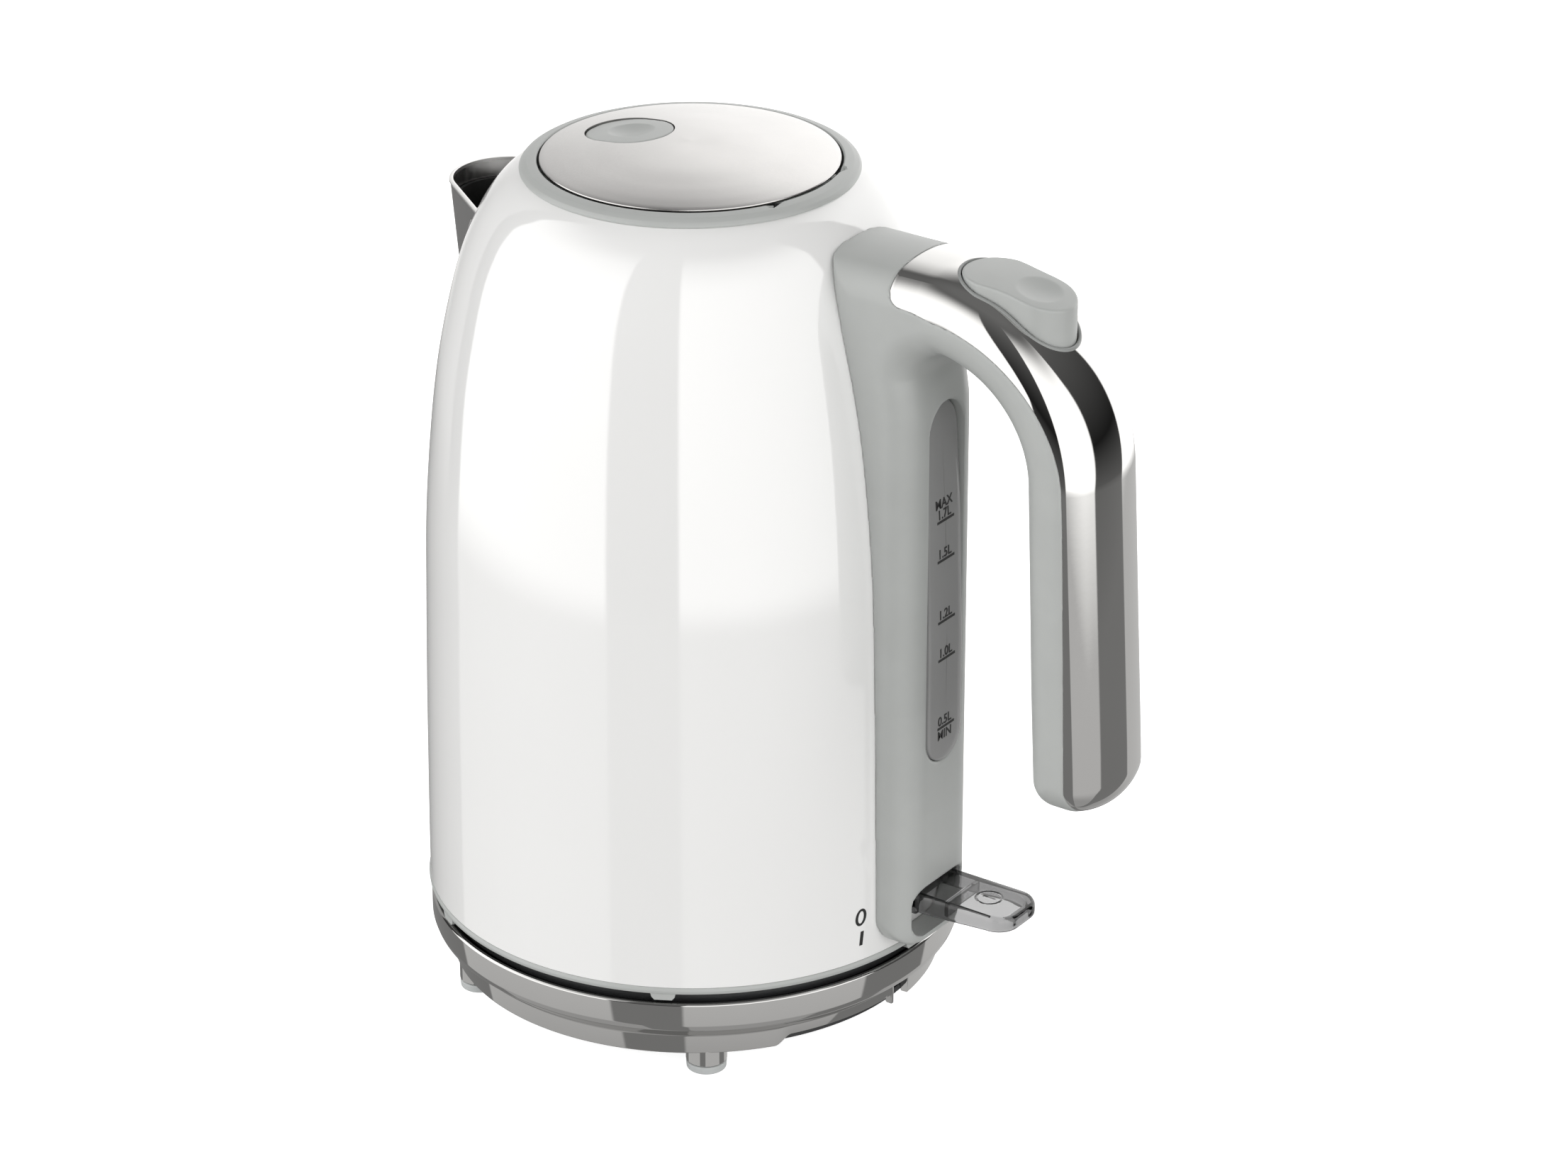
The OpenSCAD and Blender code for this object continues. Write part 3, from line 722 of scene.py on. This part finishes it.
def bottom_ring_piece():
    """Pale ring under the body with its six short tabs."""
    ring = filleted([(75, 29.9), (78.2, 29.9), (78.35, 31.0), (78.1, 31.95), (75, 31.95)],
                    [0.2, 0.5, 0.4, 0.4, 0.2], 3)
    parts = [lathe(ring, 256)]
    for k in range(6):
        turn = math.radians(-61 + 60 * k)
        block = []
        for radius in (75.2, 78.0):
            for across, z in ((-3.6, 30.1), (3.6, 30.1), (3.3, 28.9), (2.5, 28.0), (-2.5, 28.0),
                              (-3.3, 28.9)):
                a = turn + across / 78
                block.append((radius * math.cos(a), radius * math.sin(a), z))
        faces = [tuple(range(6)), tuple(range(11, 5, -1))]
        faces += [(i, (i + 1) % 6, (i + 1) % 6 + 6, i + 6) for i in range(6)]
        parts.append((np.array(block), faces))
    piece("bottom_ring_pale", *join(*parts), GREY, "kettle", "bottom_ring", "grey_plastic")


def spout_pieces():
    """Folded steel spout with a rolled rim in a lighter steel as painted highlight, a black sheet inside it as painted
    shade in the spout's depth, and the flange on the body.
    """
    sides = np.linspace(-1, 1, 61)
    heights = np.concatenate([np.linspace(152, 222, 40), np.linspace(223, SPOUT_RIM - 0.5, 10)])
    outer = [spout_point(z, s) for z in heights for s in sides]
    inner = [spout_point(z, s, 0.7) for z in heights for s in sides]
    rows = len(heights)
    piece("spout_folded_steel", *shell(outer, inner, rows, len(sides)), SPOUT_STEEL, "kettle", "spout",
          "plate_steel",
          sharp=50)
    # the rolled rim takes the lighter steel, a painted highlight along its edge
    rim_outer, rim_inner = [], []
    for out, inset, z in ((0.1, 0.0, 230.9), (0.3, 0.0, 231.3), (0.25, 0.0, 231.7), (0.0, 0.3, 231.85)):
        rim_outer += [spout_point(SPOUT_RIM, s, inset, out)[:2] + (z,) for s in sides]
        rim_inner += [spout_point(SPOUT_RIM, s, 0.9)[:2] + (z,) for s in sides]
    piece("spout_rolled_rim", *shell(rim_outer, rim_inner, 4, len(sides)), SPOUT_RIM_HIGHLIGHT, "kettle", None,
          "plate_steel",
          sharp=50)
    # black sheet just inside the spout walls: painted shade in the spout's depth
    low = np.linspace(160, 226.2, 30)
    outer = [spout_point(z, s * 0.97, 1.0) for z in low for s in sides]
    inner = [spout_point(z, s * 0.97, 2.0) for z in low for s in sides]
    piece("spout_liner", *shell(outer, inner, len(low), len(sides)), PAINTED_SPOUT_SHADE, "kettle", None, "dark_plastic")
    parts = []
    for side in (-1, 1):
        grid_out, grid_in = [], []
        levels = np.linspace(154, SPOUT_RIM - 2.5, 50)
        for z in levels:
            half = float(spout_half(z))
            for w in (-0.3, 0.4, 2.2, 2.8):
                y = half + w
                lift = 0.45 if w < 2.5 else 0.15
                for grid, extra in ((grid_out, lift), (grid_in, -0.3)):
                    radius = body_radius(z) + extra
                    grid.append((-math.sqrt(radius ** 2 - y ** 2), side * y, z))
        parts.append(shell(grid_out, grid_in, len(levels), 4))
    piece("spout_flange", *join(*parts), SPOUT_STEEL, "kettle", None, "plate_steel")


body_pieces()
switch_marks()
bottom_ring_piece()
spout_pieces()


# ---------------------------------------------------------------- handle

def reach(x, z):
    """0 on the arm, rising to 1 where the arm has turned down into the grip."""
    angle = np.degrees(np.arctan2(z - GRIP_CENTRE[1], x - GRIP_CENTRE[0]))
    return smoothstep((90 - angle) / 85)


OUTER_LINE = [(55, 241.3), (80, 241.25)] + arc(TOP_CENTRE, TOP_RADIUS, 90, 2.4, 44) + [(145.8, 102.8)]
END_LINE = arc((135.7, 101.4), 10.1, 0, -90, 16) + arc((131.1, 100.8), 9.5, 270, 184, 12)
PALM_LINE = [(120.3, 128), (119.2, 158)] + arc((87.2, 186.5), PALM_RADIUS - 3.1, 0, 82, 36)
COLUMN_LINE = arc((92.5, 208.4), 8.2, 92, 176, 16) + [(85.0, 206), (86.1, 198), (COLUMN_X, 190),
                                                      (COLUMN_X, 38),
                                                     (85.6, 35.0), (83.5, 33.6), (55, 33.6)]
HANDLE = outline_field(OUTER_LINE + END_LINE + PALM_LINE + COLUMN_LINE)
SEAM_LINE = ([(78.0, 262)] + filleted([(78.0, 262), (78.0, 231.9), (86, 231.2)], [0, 5.5, 0], 8,
                                      closed=False)[1:]
             + [(x + 2.0 * float(reach(x, z)), z) for x, z in arc(GRIP_CENTRE, SEAM_RADIUS, 84, 3, 40)]
             + [(134.6, 172), (136.1, 130), (137.1, 101), (140.0, 91)])
COVER = outline_field(SEAM_LINE + [(140.0, 80), (170, 80), (170, 262)])
SEAM_GAP = 0.1


def column_share(x, z):
    """1 in the column on the body, 0 in the arm and grip."""
    return smoothstep((104 - x) / 10) * smoothstep((222 - z) / 28)


def section(x, z):
    """Half width, crown and edge radius of the handle's cross-section."""
    turned, column = reach(x, z), column_share(x, z)
    half = COLUMN_HALF - (COLUMN_HALF - GRIP_HALF) * turned * (1 - column)
    crown = ((1 - turned) / 48 + turned / 32) * (1 - column)
    radius = (7 - turned) * (1 - column) + 10.5 * column
    return half, crown, radius


def handle_field(x, y, z):
    half, crown, radius = section(x, z)
    return rounded_max(HANDLE(x, z) + crown * y * y / 2, np.abs(y) - half, radius)


def body_field(x, y, z):
    return np.hypot(x, y) - body_radius(z)


def frame_field(x, y, z):
    """Grey moulding: the handle solid without body, cover, window recess and lever slot."""
    solid = handle_field(x, y, z)
    solid = np.maximum(solid, 0.05 - body_field(x, y, z))
    solid = np.maximum(solid, SEAM_GAP - COVER(x, z))
    spine = np.clip(z, WINDOW[1] + WINDOW[0], WINDOW[2] - WINDOW[0])
    recess = np.maximum(np.hypot(y, z - spine) - WINDOW[0] - 0.25, np.maximum(81.9 - x, x - 100))
    solid = soft_max(solid, -recess, 0.7)
    slot = np.maximum(box_field(y, z, (0, 44.3), (12.5, 7.8), 5.0), 77.3 - x)
    return soft_max(solid, -slot, 0.8)


def frame_piece():
    points, faces = surface_net(frame_field, (52, -18.2, 33.4), (141.5, 18.2, 241.6), 0.65)
    piece("handle_moulding", points, faces, GREY, "kettle", "handle_frame", "grey_plastic", sharp=60)


def cover_stations():
    """Points and outward normals along the outer line of the cover, from the tongue to the lower end."""
    top = [(x, 241.3 - (x - 55) * 0.004) for x in np.linspace(78.12, 86.4, 12)]
    line = np.array(top + arc(TOP_CENTRE, TOP_RADIUS, 90, 2.4, 60)[1:]
                    + [(141.15 + (145.8 - 141.15) * k / 18,
                        189.27 - (189.27 - 102.8) * k / 18) for k in range(1, 18)]
                    + arc((135.7, 101.4), 10.1, 4, -66, 22))
    tangent = np.gradient(line, axis=0)
    normal = np.stack([-tangent[:, 1], tangent[:, 0]], 1)
    return line, normal / np.linalg.norm(normal, axis=1)[:, None]


def section_curve(half, crown, radius, depth, count):
    """One side of the cross-section from the crown to the seam, as (y, depth) pairs."""
    flat = [(y, crown * y * y / 2) for y in np.linspace(0, half - radius, 30)]
    corner = []
    for a in np.radians(np.linspace(3, 90, 30)):
        y = half - radius + radius * math.sin(a)
        corner.append((y, crown * y * y / 2 + radius - radius * math.cos(a)))
    curve = np.array(flat + corner + [(half, corner[-1][1] + 12)])
    stop = int(np.argmax(curve[:, 1] > depth))
    share = (depth - curve[stop - 1, 1]) / (curve[stop, 1] - curve[stop - 1, 1])
    curve = np.vstack([curve[:stop], curve[stop - 1] + share * (curve[stop] - curve[stop - 1])])
    run = np.concatenate([[0], np.cumsum(np.linalg.norm(np.diff(curve, axis=0), axis=1))])
    even = np.linspace(0, run[-1], count)
    return np.stack([np.interp(even, run, curve[:, 0]), np.interp(even, run, curve[:, 1])], 1)


def cover_piece():
    """Bright outer cover of arm and grip, swept along the handle, with the opening for the button."""
    line, normals = cover_stations()
    depths = np.linspace(0.02, 13, 400)
    outer, inner = [], []
    count = 24
    for spot, normal in zip(line, normals):
        walk = spot - np.outer(depths, -normal * -1)
        inside = COVER(walk[:, 0], walk[:, 1]) < -0.05
        depth = depths[np.argmin(inside)] if not inside.all() else depths[-1]
        if depth < 0.3:
            continue
        for skin, rows in ((0.0, outer), (1.3, inner)):
            half, crown, radius = section(*(spot - normal * 3))
            curve = section_curve(float(half) - skin, float(crown), float(radius) - skin * 0.6,
                                  max(float(depth) - skin, 0.15), count)
            for y, d in [(-y, d) for y, d in curve[:0:-1]] + [tuple(c) for c in curve]:
                at = spot - normal * (d + skin)
                rows.append((at[0], y, at[1]))
    columns = 2 * count - 1
    made = piece("handle_bright_cover", *shell(outer, inner, len(outer) // columns, columns), CHROME,
                 "kettle",
                 "handle_cover", "handle_chrome", sharp=50)
    cut(made, *prism(button_plan(0.45), 205, 260))


def button_plan(grow, count=40):
    """Plan of the lid button: two round ends and a faint waist, grown by a margin."""
    (x0, r0), (x1, r1), waist = BUTTON
    left = arc((x0, 0), r0 + grow, 95, 265, count)
    right = arc((x1, 0), r1 + grow, -85, 85, count)
    steps = np.linspace(0.06, 0.94, 14)
    lower = []
    for t in steps:
        x = left[-1][0] + (right[0][0] - left[-1][0]) * t
        edge = left[-1][1] + (right[0][1] - left[-1][1]) * t
        pinch = (min(r0, r1) - waist) * math.sin(math.pi * t) ** 2
        lower.append((x, edge + pinch))
    upper = [(x, -y) for x, y in lower[::-1]]
    return left + lower + right + upper


def cover_height(x, y):
    """Height of the cover's outer surface over a plan point."""
    low, high = np.full(np.shape(x), 205.0), np.full(np.shape(x), 250.0)
    for _ in range(34):
        middle = (low + high) / 2
        outside = handle_field(x, y, middle) > 0
        high = np.where(outside, middle, high)
        low = np.where(outside, low, middle)
    return low


def bezel_piece():
    """Thin dark lip that the button stands in."""
    ring = [(0.3, -1.0), (0.3, 0.2), (0.5, 0.45), (0.9, 0.42), (1.2, 0.15), (1.25, -0.3), (1.25, -1.0)]
    base = np.array(button_plan(0.8))
    height = cover_height(base[:, 0], base[:, 1])
    points = []
    for grow, up in ring:
        plan = np.array(button_plan(grow))
        points.append(np.column_stack([plan, height + up]))
    points = np.stack(points, 1).reshape(-1, 3)
    piece("button_lip", points, strip_faces(len(base), len(ring), True, True), GREY_DARK, "kettle",
          "button_bezel",
          "dark_plastic", sharp=60)


def button_field(x, y, z):
    """Lid button: upright sides, a crowned top with a thumb dimple, hollow around its spring."""
    plan = outline_field(button_plan(0.0))(x, y)
    top = 241.3 - 0.006 * np.maximum(x - 95, 0) ** 2 - y * y / 290
    solid = rounded_max(plan, z - top, 0.5)
    under = 52.7 - np.hypot(x - 87, z - 187)
    solid = np.maximum(solid, under)
    dimple = 22.8 - np.sqrt((x - 119.9) ** 2 + y * y + (z - 260.0) ** 2)
    solid = soft_max(solid, dimple, 0.15)
    spring_room = np.maximum(np.abs(np.hypot(x - 112, y) - 4.2) - 1.4, z - 236.2)
    return np.maximum(solid, -spring_room)


def button_piece():
    points, faces = surface_net(button_field, (91.8, -10.8, 219), (125.6, 10.8, 241.6), 0.4)
    piece("lid_release_button", points, faces, GREY, "release_button", "lid_button", "grey_plastic", sharp=60)


def window_face(z):
    """How far out the gauge window's face stands at a height."""
    return np.interp(z, [90, 125, 165, 185, 200], [86.9, 86.9, 85.9, 84.6, 83.5])


def window_piece():
    """Clear gauge window with a softened edge, fitted in the column's recess."""
    half, low, high = WINDOW
    spine = np.linspace(high - half, low + half, 30)
    rings = [(0.0, 82.2, 0), (0.0, 0.0, 1), (0.35, 0.45, 1), (1.0, 0.6, 1), (3.0, 0.62, 1), (5.5, 0.62, 1),
             (8.1, 0.62, 1)]
    points = []
    for inset, out, on_face in rings:
        radius = half - inset
        upper_turn, lower_turn = np.radians(np.linspace(0, 180, 25)), np.radians(np.linspace(180, 360, 25))
        ring = [(radius * math.cos(a), high - half + radius * math.sin(a)) for a in upper_turn]
        ring += [(-radius, z) for z in spine[1:-1]]
        ring += [(radius * math.cos(a), low + half + radius * math.sin(a)) for a in lower_turn]
        ring += [(radius, z) for z in spine[::-1][1:-1]]
        points += [((window_face(z) - 0.6 + out) if on_face else out, y, z) for y, z in ring]
    size = len(points) // len(rings)
    faces = strip_faces(len(rings), size, False, True)
    faces += [tuple(range(size))[::-1], tuple(range(len(points) - size, len(points)))]
    piece("gauge_window_clear", points, faces, WINDOW_CLEAR, "kettle", "gauge_window", "clear_window",
          sharp=50)


MARK_LIFTS = (0.04, 0.1)


def text_piece(name, body, size, y, z):
    """Flat generic lettering standing just in front of the gauge window."""
    curve = bpy.data.curves.new(name, "FONT")
    curve.body, curve.size, curve.offset = body, size, size * 0.018
    curve.align_x, curve.align_y = "CENTER", "CENTER"
    text = bpy.data.objects.new(name, curve)
    bpy.context.collection.objects.link(text)
    mesh = bpy.data.meshes.new_from_object(text.evaluated_get(bpy.context.evaluated_depsgraph_get()))
    bpy.data.objects.remove(text)
    flat = np.array([v.co[:2] for v in mesh.vertices])
    faces = [tuple(p.vertices) for p in mesh.polygons]
    count = len(flat)
    points = []
    for lift in MARK_LIFTS:
        for u, v in flat:
            points.append((float(window_face(z + v)) + lift, y + u, z + v))
    front = [tuple(i + count for i in f) for f in faces]
    rear = [f[::-1] for f in faces]
    edges = {}
    for f in front:
        for a, b in zip(f, f[1:] + f[:1]):
            edges[(a, b)] = (b, a) in edges or edges.get((a, b))
    walls = [(a - count, b - count, b, a) for a, b in edges if (b, a) not in edges]
    return np.array(points), front + rear + walls


def gauge_marks():
    """Litre marks of the water gauge: short lines with their numbers."""
    marks = [(163.9, "MAX\n1.7L"), (152.1, "1.5L"), (133.6, "1.2L"), (122.0, "1.0L"), (100.8, "0.5L"),
             (100.8, "MIN")]
    parts = []
    for z, label in marks:
        below = label == "MIN"
        lines = label.split("\n")
        for k, line in enumerate(reversed(lines)):
            up = -2.4 if below else 2.0 + 3.2 * k
            parts.append(text_piece("mark", line, 3.9, -0.6, z + up))
        if not below:
            face = float(window_face(z))
            bar = [(face + lift, y, z + dz) for lift in MARK_LIFTS for y, dz in
                   ((-4.15, -0.38), (4.15, -0.38), (4.15, 0.38), (-4.15, 0.38))]
            parts.append((np.array(bar), [(0, 3, 2, 1), (4, 5, 6, 7), (0, 1, 5, 4), (1, 2, 6, 5),
                                          (2, 3, 7, 6), (3, 0, 4, 7)]))
    piece("gauge_marks", *join(*parts), INK, "kettle", None, "dark_plastic")


frame_piece()
cover_piece()
bezel_piece()
button_piece()
window_piece()
gauge_marks()


# ---------------------------------------------------------------- switch lever

def lever_field(x, y, z):
    """Smoked lever: rounded plate with a skirt, hollow below, with a raised mark and its pivot stubs."""
    tongue = box_field(x, y, ((78.9 + LEVER_TIP) / 2, 0), ((LEVER_TIP - 78.9) / 2, 9.7), 6.3)
    root = box_field(x, y, (82, 0), (3.1, 11.0), 1.0)
    root = np.maximum(root, -20.0)
    plan = np.minimum(tongue, root)
    sag = 44.0 + 1.6 * smoothstep((x - 84) / 30)
    top = 50.5 - 0.5 * smoothstep((x - 106) / 9) ** 2
    solid = rounded_max(plan, np.abs(z - (top + sag) / 2) - (top - sag) / 2, 1.3)
    hollow = np.maximum(box_field(x, y, (94.2, 0), (17.6, 7.6), 4.6), z - 48.7)
    solid = soft_max(solid, -hollow, 0.6)
    rib = np.maximum(np.abs(x - 93.6) - 0.6, np.maximum(np.abs(y) - 8, np.maximum(z - 49.5, 45.4 - z)))
    solid = np.minimum(solid, rib)
    radius = np.hypot(x - 102.5, y)
    ring = np.maximum(np.abs(radius - 3.75) - 0.22, np.abs(z - 50.5) - 0.25)
    bar = np.maximum(np.maximum(np.abs(x - 102.5) - 2.0, np.abs(y) - 0.22), np.abs(z - 50.5) - 0.25)
    solid = soft_max(solid, -np.minimum(ring, bar), 0.1)
    stub = np.maximum(np.hypot(x - 81.6, z - 47.2) - 2.0, np.abs(y) - 13.6)
    return np.minimum(solid, stub)


points, faces = surface_net(lever_field, (78.5, -13.8, 43.6), (115, 13.8, 51), 0.3)
piece("switch_lever_smoked", points, faces, SMOKED, "lever", "switch_lever", "smoked_plastic", sharp=60)


# ---------------------------------------------------------------- lid

def pad_field(x, y, z):
    """Oval thumb pad with a shallow oval dish."""
    plan = np.hypot(np.maximum(np.abs(x + 20.8) - 1.85, 0), y) - 10.85
    dome = z - (256.5 - (x * x + y * y) / 325)
    solid = np.maximum(rounded_max(plan, dome, 0.45), 251.2 - z)
    dish = 17.5 - np.sqrt(((x + 22.6) / 1.1) ** 2 + (y * 1.04) ** 2 + (z - 271.3) ** 2)
    return soft_max(solid, dish, 0.12)


def turned_about_hinge(points, faces, angle):
    """A block turned about the lid hinge, the way that the lid opens."""
    x, z = points[:, 0] - HINGE_X, points[:, 2] - HINGE_Z
    turned = np.array(points)
    turned[:, 0] = HINGE_X + x * math.cos(angle) + z * math.sin(angle)
    turned[:, 2] = HINGE_Z + z * math.cos(angle) - x * math.sin(angle)
    return turned, faces


def lid_pieces():
    """Steel lid cover with its turned-down edge, the thumb pad, and the collar round the opening."""
    dome = spline([(0.02, 256.4), (10, 256.12), (20, 255.35), (30, 254.05), (36, 253.1), (40, 252.35),
                   (41.2, 252.1)], 40)
    edge = [(41.75, 251.95), (41.9, 251.7), (41.8, 251.3), (41.3, 251.2)]
    under = [(r, z - 0.8) for r, z in dome[::-1][2:]]
    made = piece("lid_steel_cover", *lathe(list(map(tuple, dome)) + edge + under, 256), LID_STEEL, "lid",
                 "lid_cover",
                 "lid_steel")
    oval = [(-20.8 + 1.85 + x, y) for x, y in arc((0, 0), 11.15, -90, 90, 40)]
    oval += [(-20.8 - 1.85 + x, y) for x, y in arc((0, 0), 11.15, 90, 270, 40)]
    cut(made, *prism(oval, 245, 262))
    points, faces = surface_net(pad_field, (-34, -11.2, 250.8), (-7.6, 11.2, 257), 0.4)
    piece("lid_thumb_pad_grey", points, faces, GREY, "lid", "lid_thumb_pad", "grey_plastic", sharp=60)
    ring = filleted([(42.5, 250.9), (42.5, 251.35), (43.0, 251.65), (45.4, 251.15), (46.9, 250.3),
                     (47.5, 249.45),
                     (47.45, 248.8), (44.7, 248.8), (44.7, 242), (36.5, 242), (36.5, 244), (43.5, 244),
                     (43.5, 250.6)],
                    [0.1, 0.25, 0.3, 1.5, 1.2, 0.6, 0.2, 0.2, 0.5, 0.5, 0.5, 0.5, 0.3], 4)
    made = piece("lid_collar_ring", *lathe(ring, 256), GREY, "kettle", "lid_collar", "grey_plastic")
    rim = [(0.02, 250.95), (42.15, 250.95), (42.15, 252.15), (0.02, 252.15)]
    for angle in range(5, 80, 10):
        cut(made, *turned_about_hinge(*lathe(rim, 180), math.radians(angle)))
    parts = []
    for side in (-1, 1):
        lug = filleted([(HINGE_X - 1.2, 243.8), (HINGE_X + 1.2, 243.8), (HINGE_X + 1.2, 249.8),
                        (HINGE_X + 1.0, 250.9),
                        (HINGE_X - 1.0, 250.9), (HINGE_X - 1.2, 249.8)], [0, 0, 0, 0.8, 0.8, 0], 5)
        points, faces = prism(lug, 12 * side - 1.2, 12 * side + 1.2, axis=1)
        parts.append((points, faces))
    piece("lid_hinge_lugs", *join(*parts), GREY, "kettle", None, "grey_plastic")


lid_pieces()


# ---------------------------------------------------------------- finishes of the CAD nodes that stay

KEPT = {
    "base_bottom_plate": DARK, "base_screws": SCREW_STEEL, "socket_housing": DARK, "socket_contacts": BRASS,
    "coupler_body": DARK, "coupler_contacts": BRASS, "bottom_chassis": DARK, "chassis_screws": SCREW_STEEL,
    "heater_plate": PLATE_STEEL, "plate_seal": RUBBER, "heat_spreader": ALUMINIUM,
    "heating_element": PLATE_STEEL,
    "control_unit": CREAM, "steam_tube": CREAM, "filter_rails": DARK, "spout_filter": GREY,
    "gauge_back": GREY,
    "button_spring": SCREW_STEEL, "latch_slider": CREAM, "lid_body": GREY, "lid_seal": RUBBER,
    "lid_hinge_pin": SCREW_STEEL,
}
for node, material in KEPT.items():
    for shape in [frame["nodes"][node]] + list(frame["nodes"][node].children):
        if shape.type == "MESH":
            shape.data.materials.clear()
            shape.data.materials.append(material)
